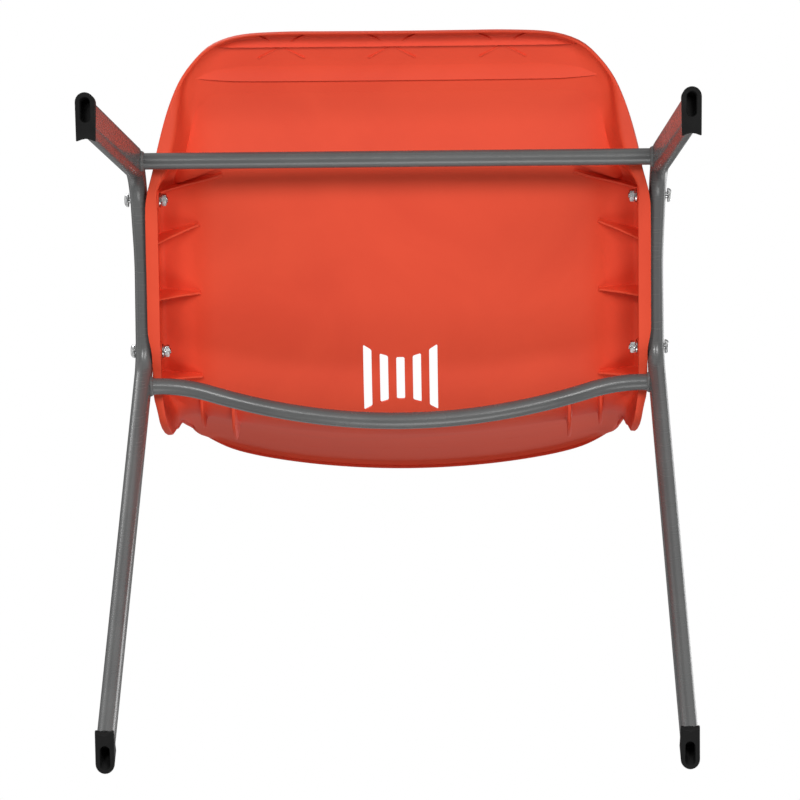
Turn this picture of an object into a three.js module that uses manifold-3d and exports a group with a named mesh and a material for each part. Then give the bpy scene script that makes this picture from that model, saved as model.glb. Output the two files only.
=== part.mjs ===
// Stacking chair: a one-piece moulded shell bolted between two bent oval-tube side
// frames that two welded crossbars hold apart. Millimetres, +Z up, front faces -Y,
// the origin is on the floor in the middle of the four feet.
import * as THREE from 'three';
import { ParametricGeometry } from 'three/addons/geometries/ParametricGeometry.js';
import { mergeVertices } from 'three/addons/utils/BufferGeometryUtils.js';
import Module from 'manifold-3d';

const wasm = await Module();
wasm.setup();

// ---- driving dimensions -------------------------------------------------------
const GAP = 0.3;                  // clearance left between pieces that touch

// side frames: one bent oval tube each, centreline points for the +X side
const TUBE_WIDE = 15;             // across the chair
const TUBE_DEEP = 30;             // in the plane of the frame
const TUBE_WALL = 1.5;
const TUBE_FRONT_FOOT = [251.5, -281.5, 0];
const TUBE_FRONT_BEND = [236.2, -127, 426];
const TUBE_RAIL_BOW = [232.2, -40, 419.4];
const TUBE_REAR_BEND = [233, 58, 412];
const TUBE_REAR_FOOT = [250.8, 281.5, 0];
const BEND_RADIUS = 45;
const BOW_RADIUS = 600;

// crossbars: round tube, welded to the inside faces of the legs
const BAR_RADIUS = 7.5;
const BAR_WALL = 1.5;
const BAR_END_GAP = 0.8;          // square-cut ends against the slightly splayed legs
const FRONT_BAR_Z = 392;
const REAR_BAR_Z = 388;
const REAR_BAR_BOW_BACK = 27.5;   // the middle of the rear bar sits further back
const REAR_BAR_ARC_HALF = 194;    // where the wide arc would meet the line of the ends
const REAR_BAR_ARC_END = 172;     // where it starts to straighten
const REAR_BAR_EASE_LONG = 46.8;  // length over which it straightens
const REAR_BAR_EASE_BOW = 0.214;  // share of the bow left where that starts
const REAR_BAR_BOW_DOWN = 23.5;   // and lower, to clear the shell of the chair below

// foot caps: a wedge-shaped pad with a plug pushed up inside the tube
const PAD_WIDE = 16.6;
const PAD_LONG = 40;
const PAD_INNER_HEIGHT = 3.2;     // height of the pad's shallow end
const PLUG_LONG = 24;
const RECESS_WIDE = 8.2;
const RECESS_LONG = 21.5;

// shell
const SHELL_T = 4;                // moulded wall
const BOSS_T = 3.2;               // thickening of the skirt under each washer
const BOSS_R = 9;
const EDGE_ROUND = 9;             // roll-over from the seat surface into the skirt
const SHELL_HALF = 223.7;         // outside face of the skirt beside the rails
const FLANGE_OUT = 228.5;         // outer edge of the stiffening flange
const FLANGE_IN = 217;            // inner edge of the same flange
const FLANGE_T = 2.6;
const RIM_BEAD = 0.6;             // small bead all round the moulded edge
const RIB_T = 2.4;
const VENT_PITCH = 15.1;
const VENT_WIDE = 7.6;
const VENT_REACH = 21.5;          // half length of the middle slot
const VENT_FLARE = 0.011;         // how fast the slots lengthen away from the middle
const VENT_MIDDLE_Y = 80.5;

// fasteners: M6 screws along X through tube and skirt
const SCREW_R = 3;
const HOLE_R = 3.4;
const FRONT_SCREW = [-95, 423.2];   // y, z
const REAR_SCREW = [44, 410.5];
const FRONT_HEAD_SEAT = 243.6;      // X of the tube's outer face at the front screws
const REAR_HEAD_SEAT = 240.9;       // and at the rear screws

// ---- small helpers ------------------------------------------------------------
const v3 = (p) => new THREE.Vector3(p[0], p[1], p[2]);
const clamp01 = (t) => Math.min(1, Math.max(0, t));
const smooth = (t) => clamp01(t) ** 2 * (3 - 2 * clamp01(t));
const mix = (a, b, t) => a + (b - a) * t;

// closed geometry -> solid for the boolean operations
function solid(geometry) {
  const g = geometry.clone();
  g.deleteAttribute('normal');
  g.deleteAttribute('uv');
  const m = mergeVertices(g, 1e-4);
  const triVerts = [];
  const index = m.index.array;
  for (let i = 0; i < index.length; i += 3) {
    const [a, b, c] = [index[i], index[i + 1], index[i + 2]];
    if (a !== b && b !== c && a !== c) triVerts.push(a, b, c);
  }
  return new wasm.Manifold(new wasm.Mesh({
    numProp: 3,
    vertProperties: new Float32Array(m.attributes.position.array),
    triVerts: new Uint32Array(triVerts),
  }));
}

// solid -> flat-shaded geometry
function geometryOf(body) {
  const m = body.getMesh();
  const g = new THREE.BufferGeometry();
  g.setAttribute('position', new THREE.BufferAttribute(new Float32Array(m.vertProperties), 3));
  g.setIndex(new THREE.BufferAttribute(new Uint32Array(m.triVerts), 1));
  const flat = g.toNonIndexed();
  flat.computeVertexNormals();
  return flat;
}

const group = new THREE.Group();
group.name = 'stacking_chair';

function addPart(name, body, colour, roughness, metalness) {
  const material = new THREE.MeshStandardMaterial({ color: colour, roughness, metalness });
  const mesh = new THREE.Mesh(geometryOf(body), material);
  mesh.name = name;
  group.add(mesh);
}

// mirror a solid to the other side of the chair
function mirrored(body) {
  return body.mirror([1, 0, 0]);
}

// round pin along X
function pinX(radius, x0, x1, y, z, sides = 24) {
  const g = new THREE.CylinderGeometry(radius, radius, Math.abs(x1 - x0), sides);
  g.rotateZ(Math.PI / 2);
  g.translate((x0 + x1) / 2, y, z);
  return solid(g);
}

// ---- tube sweeping --------------------------------------------------------------
// a centreline made of stations, dense in the bends and sparse on the straights
class StationPath extends THREE.Curve {
  constructor(points) {
    super();
    this.points = points;
  }
  getPointAt(u, target = new THREE.Vector3()) {
    return target.copy(this.points[Math.round(u * (this.points.length - 1))]);
  }
  getPoint(u, target) {
    return this.getPointAt(u, target);
  }
  getTangentAt(u, target = new THREE.Vector3()) {
    const last = this.points.length - 1;
    const i = Math.round(u * last);
    const before = this.points[Math.max(0, i - 1)];
    const after = this.points[Math.min(last, i + 1)];
    return target.copy(after).sub(before).normalize();
  }
}

// corner points -> stations, each inner corner rounded with its own bend radius
function bentLine(corners, radii, stepsPerBend) {
  const out = [corners[0].clone()];
  for (let i = 1; i < corners.length - 1; i++) {
    const into = corners[i].clone().sub(corners[i - 1]).normalize();
    const away = corners[i + 1].clone().sub(corners[i]).normalize();
    const turn = into.angleTo(away);
    const tangent = radii[i - 1] * Math.tan(turn / 2);
    const centre = corners[i].clone().addScaledVector(
      away.clone().sub(into).normalize(), radii[i - 1] / Math.cos(turn / 2));
    const start = corners[i].clone().addScaledVector(into, -tangent).sub(centre);
    const axis = into.clone().cross(away).normalize();
    const steps = stepsPerBend[i - 1];
    for (let k = 0; k <= steps; k++) {
      out.push(start.clone().applyAxisAngle(axis, turn * k / steps).add(centre));
    }
  }
  out.push(corners[corners.length - 1].clone());
  return out;
}

// an oval with straight flanks: "wide" along the shape's x, "deep" along its y
function ovalShape(wide, deep, arcSteps = 8) {
  const r = wide / 2;
  const shape = new THREE.Shape();
  const flank = deep / 2 - r;
  const pts = [];
  for (let i = 0; i <= arcSteps; i++) {
    const a = Math.PI * i / arcSteps;
    pts.push(new THREE.Vector2(r * Math.cos(a), flank + r * Math.sin(a)));
  }
  for (let i = 0; i <= arcSteps; i++) {
    const a = Math.PI + Math.PI * i / arcSteps;
    pts.push(new THREE.Vector2(r * Math.cos(a), -flank + r * Math.sin(a)));
  }
  shape.setFromPoints(pts);
  return shape;
}

function circleShape(radius, sides) {
  const shape = new THREE.Shape();
  const pts = [];
  for (let i = 0; i < sides; i++) {
    const a = 2 * Math.PI * i / sides;
    pts.push(new THREE.Vector2(radius * Math.cos(a), radius * Math.sin(a)));
  }
  shape.setFromPoints(pts);
  return shape;
}

function sweep(shape, stations) {
  return solid(new THREE.ExtrudeGeometry(shape, {
    extrudePath: new StationPath(stations),
    steps: stations.length - 1,
    bevelEnabled: false,
  }));
}

// hollow tube: the bore runs a little past both ends so that they stay open
function hollow(outer, inner, stations) {
  const bore = stations.map((p) => p.clone());
  const n = bore.length;
  bore[0].addScaledVector(bore[0].clone().sub(bore[1]).normalize(), 2);
  bore[n - 1].addScaledVector(bore[n - 1].clone().sub(bore[n - 2]).normalize(), 2);
  return sweep(outer, stations).subtract(sweep(inner, bore));
}

// ---- side frames ------------------------------------------------------------------
const LEG = {
  front: { foot: v3(TUBE_FRONT_FOOT), top: v3(TUBE_FRONT_BEND), outward: -1 },
  rear: { foot: v3(TUBE_REAR_FOOT), top: v3(TUBE_REAR_BEND), outward: 1 },
};

// unit vector up the leg
const legUp = (leg) => leg.top.clone().sub(leg.foot).normalize();

// the tube stops on a square cut whose shallow side is just above the pad's edge
function padShoulder(leg) {
  const up = legUp(leg);
  const innerEdge = new THREE.Vector3(leg.foot.x, leg.foot.y - leg.outward * PAD_LONG / 2, 0);
  innerEdge.z = PAD_INNER_HEIGHT;
  return innerEdge.sub(leg.foot).dot(up);
}

function tubeStations() {
  const start = LEG.front.foot.clone().addScaledVector(legUp(LEG.front), padShoulder(LEG.front) + GAP);
  const end = LEG.rear.foot.clone().addScaledVector(legUp(LEG.rear), padShoulder(LEG.rear) + GAP);
  const corners = [start, v3(TUBE_FRONT_BEND), v3(TUBE_RAIL_BOW), v3(TUBE_REAR_BEND), end];
  return bentLine(corners, [BEND_RADIUS, BOW_RADIUS, BEND_RADIUS], [9, 2, 8]);
}

function sideTube() {
  const outer = ovalShape(TUBE_WIDE, TUBE_DEEP);
  const inner = ovalShape(TUBE_WIDE - 2 * TUBE_WALL, TUBE_DEEP - 2 * TUBE_WALL, 6);
  let tube = hollow(outer, inner, tubeStations());
  for (const [y, z] of [FRONT_SCREW, REAR_SCREW]) {
    tube = tube.subtract(pinX(HOLE_R, 200, 270, y, z, 16));
  }
  return tube;
}

// point on a leg's centreline at a given height
function legAt(leg, z) {
  const t = (z - leg.foot.z) / (leg.top.z - leg.foot.z);
  return leg.foot.clone().lerp(leg.top, t);
}

// ---- crossbars -----------------------------------------------------------------------
function frontCrossbar() {
  const at = legAt(LEG.front, FRONT_BAR_Z);
  const half = at.x - TUBE_WIDE / 2 - BAR_END_GAP;
  const ends = [new THREE.Vector3(-half, at.y, at.z), new THREE.Vector3(half, at.y, at.z)];
  return hollow(circleShape(BAR_RADIUS, 24), circleShape(BAR_RADIUS - BAR_WALL, 16), ends);
}

// the rear bar is one wide arc that straightens out just short of the legs
function rearBarPoint(x, at) {
  const a = Math.abs(x);
  const ease = clamp01(1 - (a - REAR_BAR_ARC_END) / REAR_BAR_EASE_LONG);
  const arc = 1 - (a / REAR_BAR_ARC_HALF) ** 2;
  const bow = a < REAR_BAR_ARC_END ? arc : REAR_BAR_EASE_BOW * ease * ease;
  return new THREE.Vector3(x, at.y + REAR_BAR_BOW_BACK * bow, at.z - REAR_BAR_BOW_DOWN * bow);
}

function rearCrossbar() {
  const at = legAt(LEG.rear, REAR_BAR_Z);
  const half = at.x - TUBE_WIDE / 2 - BAR_END_GAP;
  const stations = [];
  const steps = 24;
  for (let i = 0; i <= steps; i++) {
    stations.push(rearBarPoint(mix(-half, half, i / steps), at));
  }
  return hollow(circleShape(BAR_RADIUS, 20), circleShape(BAR_RADIUS - BAR_WALL, 14), stations);
}

// ---- foot caps ----------------------------------------------------------------------
// oval with a rounded outer end and a hollowed inner end, seen from above
function padOutline(lengthAlong) {
  const r = PAD_WIDE / 2;
  const outer = lengthAlong / 2;
  const pts = [];
  for (let i = 0; i <= 12; i++) {
    const a = Math.PI * i / 12;
    pts.push(new THREE.Vector2(r * Math.cos(a), outer - r + r * Math.sin(a)));
  }
  for (let i = 0; i <= 6; i++) {
    const x = mix(-r, r, i / 6);
    const dish = 3 * Math.cos(Math.PI * x / (2 * r) * 0.96);
    pts.push(new THREE.Vector2(x, -outer + dish));
  }
  return new THREE.Shape().setFromPoints(pts);
}

// turn a shape extruded along +Z so that it runs up the leg; its +y points outward
function alongLeg(leg, shape, from, to) {
  const up = legUp(leg);
  const outwardAxis = new THREE.Vector3(0, leg.outward, 0);
  outwardAxis.addScaledVector(up, -outwardAxis.dot(up)).normalize();
  const sideAxis = outwardAxis.clone().cross(up).normalize();
  const g = new THREE.ExtrudeGeometry(shape, { depth: to - from, bevelEnabled: false });
  g.translate(0, 0, from);
  g.applyMatrix4(new THREE.Matrix4().makeBasis(sideAxis, outwardAxis, up).setPosition(leg.foot));
  return solid(g);
}

function floorBlock() {
  const g = new THREE.BoxGeometry(900, 900, 200);
  g.translate(0, 0, -100);
  return solid(g);
}

function footCap(leg) {
  const up = legUp(leg);
  const shoulder = padShoulder(leg);
  const tilt = Math.sqrt(up.x ** 2 + up.z ** 2);
  const pad = alongLeg(leg, padOutline(PAD_LONG * tilt), -30, shoulder);
  const plugShape = ovalShape(TUBE_WIDE - 2 * TUBE_WALL - 2 * GAP, TUBE_DEEP - 2 * TUBE_WALL - 2 * GAP, 6);
  const plug = alongLeg(leg, plugShape, shoulder - 1, shoulder + PLUG_LONG);
  const recess = ovalShape(RECESS_WIDE, RECESS_LONG * tilt, 6);
  const core = alongLeg(leg, recess, -40, shoulder + 6);
  const shift = PAD_LONG / 2 - RECESS_LONG / 2 - 5;
  return pad.add(plug).subtract(core.translate([0, leg.outward * shift, 0])).subtract(floorBlock());
}

// ---- shell ---------------------------------------------------------------------------
// centre line of the sitting surface from the front edge over the seat and up the back
const PROFILE = new THREE.CatmullRomCurve3([
  [-249, 437], [-238, 446], [-215, 451.5], [-170, 451], [-100, 445], [-20, 439], [50, 437],
  [95, 444], [126, 462], [146, 492], [160, 530], [181, 590], [210, 665], [241, 735], [270, 796],
].map(([y, z]) => new THREE.Vector3(0, y, z)), false, 'centripetal');
PROFILE.arcLengthDivisions = 400;
const PROFILE_LENGTH = PROFILE.getLength();
const SEAT_END = 345;             // arc length where the seat starts turning up
const BACK_START = 440;           // arc length where the back proper starts

// half outline of the flattened shell: x out from the middle, s along the centre line
const OUTLINE = new THREE.CatmullRomCurve3([
  [0, 0], [60, 0], [99, 0.4], [134, 4], [154, 11], [170, 20], [183, 33], [196, 51], [206, 73],
  [214.5, 100], [220.5, 126], [223.3, 148], [SHELL_HALF, 170], [SHELL_HALF, 240], [SHELL_HALF, 315],
  [223, 345], [219, 374], [213, 400], [208.5, 440], [207, 500], [207, 580], [207, 650],
  [204, PROFILE_LENGTH - 66], [193, PROFILE_LENGTH - 36], [174, PROFILE_LENGTH - 14],
  [146, PROFILE_LENGTH - 3], [110, PROFILE_LENGTH], [50, PROFILE_LENGTH], [0, PROFILE_LENGTH],
].map(([x, s]) => new THREE.Vector3(x, s, 0)), false, 'centripetal');
OUTLINE.arcLengthDivisions = 600;

function profileFrame(s) {
  const u = clamp01(s / PROFILE_LENGTH);
  const at = PROFILE.getPointAt(u);
  const along = PROFILE.getTangentAt(u);
  const face = new THREE.Vector3(0, -along.z, along.y);
  at.addScaledVector(along, s - u * PROFILE_LENGTH);
  const turn = smooth((s - SEAT_END) / (BACK_START - SEAT_END));
  const under = new THREE.Vector3(0, 0, -1).lerp(face.clone().negate(), turn).normalize();
  return { at, face, under };
}

// how far the sitting surface stands off the centre line's level, out at x
function crossRise(x, s) {
  const a = Math.abs(x);
  const toBack = smooth((s - 300) / 160);
  const dish = mix(0.6e-4, 2.2e-4, smooth((s - 120) / 180));
  const wrap = mix(dish, 6.3e-4, toBack) * a * a;
  const bolster = 8 * smooth((a - 176) / 34) * smooth((s - 30) / 90) * (1 - toBack);
  return wrap + bolster;
}

// a place on the shell: x across, s along, drop below the sitting surface
function shellPoint(x, s, drop) {
  const f = profileFrame(s);
  return f.at.addScaledVector(f.face, crossRise(x, s)).addScaledVector(f.under, drop)
    .add(new THREE.Vector3(x, 0, 0));
}

// depth of the plain skirt: deep behind the rails, shallower up the back
const SKIRT_TABLE = [[0, 17], [60, 17], [120, 13], [372, 13], [392, 21], [406, 26.5], [416, 26],
  [426, 22.6], [438, 19], [452, 17.3], [470, 16.8], [520, 16.8], [560, 15.6], [600, 13.6],
  [640, 10.6], [680, 7.8], [705, 7.4], [722, 8.6], [742, 10.5], [760, 10.5]];

// a smooth curve through a table of [place, value]
function follow(table, s) {
  let i = 0;
  while (i < table.length - 2 && table[i + 1][0] <= s) i++;
  const near = [-1, 0, 1, 2].map((k) => table[Math.max(0, Math.min(table.length - 1, i + k))]);
  const span = near[2][0] - near[1][0];
  const t = clamp01((s - near[1][0]) / span);
  const into = (near[2][1] - near[0][1]) / (near[2][0] - near[0][0]) * span;
  const away = (near[3][1] - near[1][1]) / (near[3][0] - near[1][0]) * span;
  const rise = near[2][1] - near[1][1];
  return near[1][1] + into * t + (3 * rise - 2 * into - away) * t * t
    + (into + away - 2 * rise) * t * t * t;
}

// depth of the skirt below the sitting surface at its edge
function skirtDepth(s) {
  const besideRail = smooth((s - 40) / 95) * (1 - smooth((s - 364) / 52));
  const edge = shellPoint(SHELL_HALF, clamp01(s / 400) * 400, 0);
  const overBar = 8 * smooth((edge.y - 36) / 22);
  const railLevel = 402.5 - (edge.y + 95) * 0.0757 + overBar;
  return mix(follow(SKIRT_TABLE, s), edge.z - railLevel, besideRail);
}

// strength of the side flange, 1 beside the rails
function flangeAmount(s) {
  return smooth((s - 120) / 45) * (1 - smooth((s - 380) / 22));
}

// the flange pulls in where the rear leg turns down past it
function flangeOuter(s) {
  const beside = flangeAmount(s) * (1 - smooth((s - 272) / 34));
  return mix(RIM_BEAD, FLANGE_OUT - SHELL_HALF, beside);
}

// one closed section round the shell's edge: [inset from the outline, drop]
function edgeSection(s) {
  const r = EDGE_ROUND;
  const t = SHELL_T;
  const deep = skirtDepth(s);
  const out = flangeOuter(s);
  const inn = mix(RIM_BEAD, SHELL_HALF - FLANGE_IN - t, flangeAmount(s));
  const ft = FLANGE_T;
  const roll = (inset) => r - Math.sqrt(Math.max(0, r * r - (r - inset) ** 2));
  return [
    [30, 0], [14, 0], [r, 0], [r * 0.45, roll(r * 0.45)], [r * 0.13, roll(r * 0.13)], [0, r],
    [0, deep - ft], [-out, deep - ft], [-out, deep], [t + inn, deep], [t + inn, deep - ft],
    [t, deep - ft], [t, r + 1.5], [t + 2, t + 2], [r + 1, t], [16, t], [30, t],
  ];
}

const SPINE_INSET = 112;
const SIDE_STEPS = 56;

// point of the outline and the direction square to it, for a loop parameter 0..1
function outlineAt(loop) {
  const left = loop > 0.5;
  const u = left ? 2 - 2 * loop : 2 * loop;
  const p = OUTLINE.getPointAt(clamp01(u));
  const t = OUTLINE.getTangentAt(clamp01(u));
  const inward = new THREE.Vector2(-t.y, t.x);
  if (u < 1e-6 || u > 1 - 1e-6) inward.set(0, u < 0.5 ? 1 : -1);
  const sign = left ? -1 : 1;
  return { x: sign * p.x, s: p.y, inX: sign * inward.x, inS: inward.y };
}

function shellBody() {
  const count = edgeSection(0).length;
  const inner = [0, 0.45, 0.78];
  const rings = inner.length * 2 + count;
  const place = (u, v, target) => {
    const o = outlineAt(u <= 0 ? 0 : 1 - u);
    const ring = Math.round(v * (rings - 1));
    const section = edgeSection(o.s);
    const spine = Math.min(PROFILE_LENGTH - SPINE_INSET, Math.max(SPINE_INSET, o.s));
    const top = ring < inner.length;
    const under = ring >= inner.length + count;
    if (top || under) {
      const f = top ? inner[ring] : inner[rings - 1 - ring];
      const x = (o.x + o.inX * 30) * f;
      const s = mix(spine, o.s + o.inS * 30, f);
      target.copy(shellPoint(x, s, top ? 0 : SHELL_T));
      return;
    }
    const [inset, drop] = section[ring - inner.length];
    target.copy(shellPoint(o.x + o.inX * inset, o.s + o.inS * inset, drop));
  };
  return solid(new ParametricGeometry(place, SIDE_STEPS * 2, rings - 1));
}

// face that the washers press on
const SKIRT_INSIDE = SHELL_HALF - SHELL_T - BOSS_T;

// ---- ribs under the shell ------------------------------------------------------------
// height of the sitting surface over a place in plan
function surfaceZ(x, y) {
  let low = 0;
  let high = BACK_START;
  for (let i = 0; i < 40; i++) {
    const mid = (low + high) / 2;
    if (shellPoint(x, mid, 0).y < y) low = mid;
    else high = mid;
  }
  return shellPoint(x, low, 0).z;
}

// thin upright wall hanging from the underside along a straight line in plan
function rib(x0, y0, x1, y1, depth0, depth1, thickness = RIB_T) {
  const from = new THREE.Vector2(x0, y0);
  const to = new THREE.Vector2(x1, y1);
  const length = from.distanceTo(to);
  const steps = Math.max(2, Math.ceil(length / 30));
  const upper = [];
  const lower = [];
  for (let i = 0; i <= steps; i++) {
    const t = i / steps;
    const at = from.clone().lerp(to, t);
    const z = surfaceZ(at.x, at.y);
    upper.push(new THREE.Vector2(t * length, z - SHELL_T * 0.5));
    lower.push(new THREE.Vector2(t * length, z - SHELL_T - mix(depth0, depth1, t)));
  }
  const shape = new THREE.Shape().setFromPoints(lower.concat(upper.reverse()));
  const g = new THREE.ExtrudeGeometry(shape, { depth: thickness, bevelEnabled: false });
  g.translate(0, 0, -thickness / 2);
  const along = new THREE.Vector3(to.x - from.x, to.y - from.y, 0).normalize();
  const up = new THREE.Vector3(0, 0, 1);
  g.applyMatrix4(new THREE.Matrix4().makeBasis(along, up, along.clone().cross(up))
    .setPosition(x0, y0, 0));
  return solid(g);
}

function frontRibs() {
  const list = [rib(-166, -233, 166, -233, 6, 6), rib(-192, -200, 192, -200, 2.2, 2.2, 3)];
  for (const x of [-104, -4, 96]) {
    list.push(rib(x - 22, -245, x + 22, -221, 5, 5, 2));
    list.push(rib(x - 22, -221, x + 22, -245, 5, 5, 2));
  }
  return list;
}

function sideRibs() {
  const list = [];
  for (const side of [-1, 1]) {
    list.push(rib(side * 160, -113, side * 219, -96, 2, 12));
    list.push(rib(side * 182, -66, side * 221, -54, 3, 34));
    list.push(rib(side * 182, -2, side * 221, -2, 3, 36));
    list.push(rib(side * 182, 79, side * 221, 77, 3, 34));
    list.push(rib(side * 184, 92, side * 184, 128, 7, 16));
    list.push(rib(side * 155, 102, side * 155, 138, 5, 24));
  }
  return list;
}

// five upright slots, the outer ones longer and cut at a slant: an hourglass group
function ventCutters() {
  const list = [];
  for (let i = -2; i <= 2; i++) {
    const x = i * VENT_PITCH;
    const reach = (edge) => VENT_REACH + VENT_FLARE * edge * edge;
    const inner = x - VENT_WIDE / 2;
    const outer = x + VENT_WIDE / 2;
    const shape = new THREE.Shape().setFromPoints([
      new THREE.Vector2(inner, -reach(inner)), new THREE.Vector2(outer, -reach(outer)),
      new THREE.Vector2(outer, reach(outer)), new THREE.Vector2(inner, reach(inner)),
    ]);
    const g = new THREE.ExtrudeGeometry(shape, { depth: 80, bevelEnabled: false });
    g.translate(0, VENT_MIDDLE_Y, 400);
    list.push(solid(g));
  }
  return list;
}

function seatShell() {
  let body = shellBody();
  for (const r of frontRibs().concat(sideRibs())) body = body.add(r);
  for (const cutter of ventCutters()) body = body.subtract(cutter);
  for (const [y, z] of [FRONT_SCREW, REAR_SCREW]) {
    for (const side of [-1, 1]) {
      const boss = pinX(BOSS_R, side * (SHELL_HALF - 1.5), side * SKIRT_INSIDE, y, z);
      body = body.add(boss).subtract(pinX(HOLE_R, side * 210, side * 226, y, z, 16));
    }
  }
  return body;
}

// ---- fasteners -------------------------------------------------------------------------
const tubeOuterAt = (y) => (y < 0 ? FRONT_HEAD_SEAT : REAR_HEAD_SEAT);

// low domed head outside the tube, shank through tube and skirt
function screw(y, z) {
  const headAt = tubeOuterAt(y) + GAP;
  const profile = [[0, 0], [6.4, 0], [6.4, 0.9], [5.5, 2.7], [3.6, 3.7], [0, 4]]
    .map(([r, h]) => new THREE.Vector2(r, h));
  const g = new THREE.LatheGeometry(profile, 20);
  g.rotateZ(-Math.PI / 2);
  g.translate(headAt, y, z);
  const socket = new THREE.CylinderGeometry(2, 2, 4, 6);
  socket.rotateZ(Math.PI / 2);
  socket.translate(headAt + 4.1, y, z);
  return solid(g).add(pinX(SCREW_R, 208.4, headAt + 0.5, y, z, 16)).subtract(solid(socket));
}

function ring(outer, inner, x0, x1, y, z, sides) {
  return pinX(outer, x0, x1, y, z, sides).subtract(pinX(inner, x0 - 1, x1 + 1, y, z, 16));
}

const washer = (y, z) => ring(6.5, 3.3, SKIRT_INSIDE - GAP - 1.4, SKIRT_INSIDE - GAP, y, z, 20);
const nut = (y, z) => ring(5.7, 3.3, SKIRT_INSIDE - 2 * GAP - 6.2, SKIRT_INSIDE - 2 * GAP - 1.4, y, z, 6);

// ---- assembly -----------------------------------------------------------------------------
const ORANGE = 0xe8573c;
const GREY = 0x6e706f;
const BLACK = 0x1c1c1c;
const ZINC = 0xc9cbcb;

addPart('seat_back_shell', seatShell(), ORANGE, 0.5, 0);

const tube = sideTube();
addPart('right_side_tube', tube, GREY, 0.4, 0.3);
addPart('left_side_tube', mirrored(tube), GREY, 0.4, 0.3);
addPart('front_crossbar', frontCrossbar(), GREY, 0.4, 0.3);
addPart('rear_crossbar', rearCrossbar(), GREY, 0.4, 0.3);

for (const end of ['front', 'rear']) {
  const cap = footCap(LEG[end]);
  addPart(`${end}_right_foot_cap`, cap, BLACK, 0.6, 0);
  addPart(`${end}_left_foot_cap`, mirrored(cap), BLACK, 0.6, 0);
}

for (const [end, [y, z]] of [['front', FRONT_SCREW], ['rear', REAR_SCREW]]) {
  const pieces = { screw: screw(y, z), washer: washer(y, z), nut: nut(y, z) };
  for (const [kind, body] of Object.entries(pieces)) {
    addPart(`${end}_right_seat_${kind}`, body, ZINC, 0.25, 1);
    addPart(`${end}_left_seat_${kind}`, mirrored(body), ZINC, 0.25, 1);
  }
}

export default group;
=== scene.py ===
# %% [markdown]
# # A stacking chair, built piece by piece
#
# The real chair has a shell moulded in one shot from polypropylene, two side
# frames bent from flattened steel tube, two welded crossbars, four foot caps
# and four screws. The engineering model already fixes every size. Here each
# piece is made again with finer surfaces and given its own finish.

# %% Load the engineering model
import math
import bmesh
import bpy
from mathutils import Matrix, Vector


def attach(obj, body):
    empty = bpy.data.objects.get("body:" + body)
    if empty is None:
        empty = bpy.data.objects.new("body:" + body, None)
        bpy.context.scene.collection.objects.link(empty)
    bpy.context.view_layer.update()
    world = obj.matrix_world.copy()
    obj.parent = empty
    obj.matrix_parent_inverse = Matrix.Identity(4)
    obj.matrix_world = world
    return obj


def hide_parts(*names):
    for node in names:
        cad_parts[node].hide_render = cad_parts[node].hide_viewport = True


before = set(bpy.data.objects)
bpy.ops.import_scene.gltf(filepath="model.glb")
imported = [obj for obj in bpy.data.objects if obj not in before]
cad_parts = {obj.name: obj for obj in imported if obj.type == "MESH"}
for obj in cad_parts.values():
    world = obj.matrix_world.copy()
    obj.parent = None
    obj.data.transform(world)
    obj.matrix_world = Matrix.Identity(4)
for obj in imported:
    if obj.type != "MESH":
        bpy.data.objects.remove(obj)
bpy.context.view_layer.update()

MM = 0.001

# %% [markdown]
# ## The camera and the light
#
# To show a chair's underside the camera looks up from low in front through a
# long lens, which keeps the legs nearly parallel. It therefore stands far below
# the floor. The floor is a single sheet that can only be seen from its upper
# side, so it never hides the chair from below. Two softboxes in front and low
# on either side draw the ribs with their shadows. Tubes and screws would look
# flat in a room that is white all round, so reflections see a room that is
# darker below and above, with brighter and dimmer panels on its walls.

# %% Camera
def aim(obj, place, forward, roll):
    forward = forward.normalized()
    up = (Vector((0, -1, 0)) - forward * forward.dot(Vector((0, -1, 0)))).normalized()
    right = forward.cross(up)
    up = up * math.cos(roll) + right * math.sin(roll)
    right = forward.cross(up)
    turn = Matrix((right, up, -forward)).transposed()
    obj.matrix_world = Matrix.Translation(place) @ turn.to_4x4()


LENS_MM = 266.085
CAMERA_PLACE = Vector((0.0865, -1.4835, -4.754))
CAMERA_FORWARD = Vector((-0.0161, 0.2919, 0.9563))
CAMERA_ROLL = math.radians(0.8)

camera = bpy.data.objects.new("camera", bpy.data.cameras.new("camera"))
bpy.context.scene.collection.objects.link(camera)
camera.data.sensor_width = 36.0
camera.data.lens = LENS_MM
camera.data.clip_end = 50.0
aim(camera, CAMERA_PLACE, CAMERA_FORWARD, CAMERA_ROLL)
bpy.context.scene.camera = camera
print("lens", round(camera.data.lens, 1), "mm")

# %% Floor that hides from below
def floor_material():
    mat = bpy.data.materials.new("pale_floor")
    mat.use_nodes = True
    nodes, links = mat.node_tree.nodes, mat.node_tree.links
    shader = nodes["Principled BSDF"]
    shader.inputs["Base Color"].default_value = (0.82, 0.82, 0.82, 1)
    shader.inputs["Roughness"].default_value = 0.9
    clear = nodes.new("ShaderNodeBsdfTransparent")
    side = nodes.new("ShaderNodeNewGeometry")
    choose = nodes.new("ShaderNodeMixShader")
    links.new(side.outputs["Backfacing"], choose.inputs["Fac"])
    links.new(shader.outputs["BSDF"], choose.inputs[1])
    links.new(clear.outputs["BSDF"], choose.inputs[2])
    links.new(choose.outputs["Shader"], nodes["Material Output"].inputs["Surface"])
    return mat


def make_floor():
    bm = bmesh.new()
    bmesh.ops.create_grid(bm, x_segments=2, y_segments=2, size=6.0)
    bmesh.ops.translate(bm, vec=(0, 0, -0.0004), verts=bm.verts)
    mesh = bpy.data.meshes.new("floor")
    bm.to_mesh(mesh)
    bm.free()
    floor = bpy.data.objects.new("floor", mesh)
    bpy.context.scene.collection.objects.link(floor)
    floor.data.materials.append(floor_material())
    floor.visible_shadow = False
    floor.visible_diffuse = False
    floor.visible_glossy = False
    return floor


make_floor()

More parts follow.
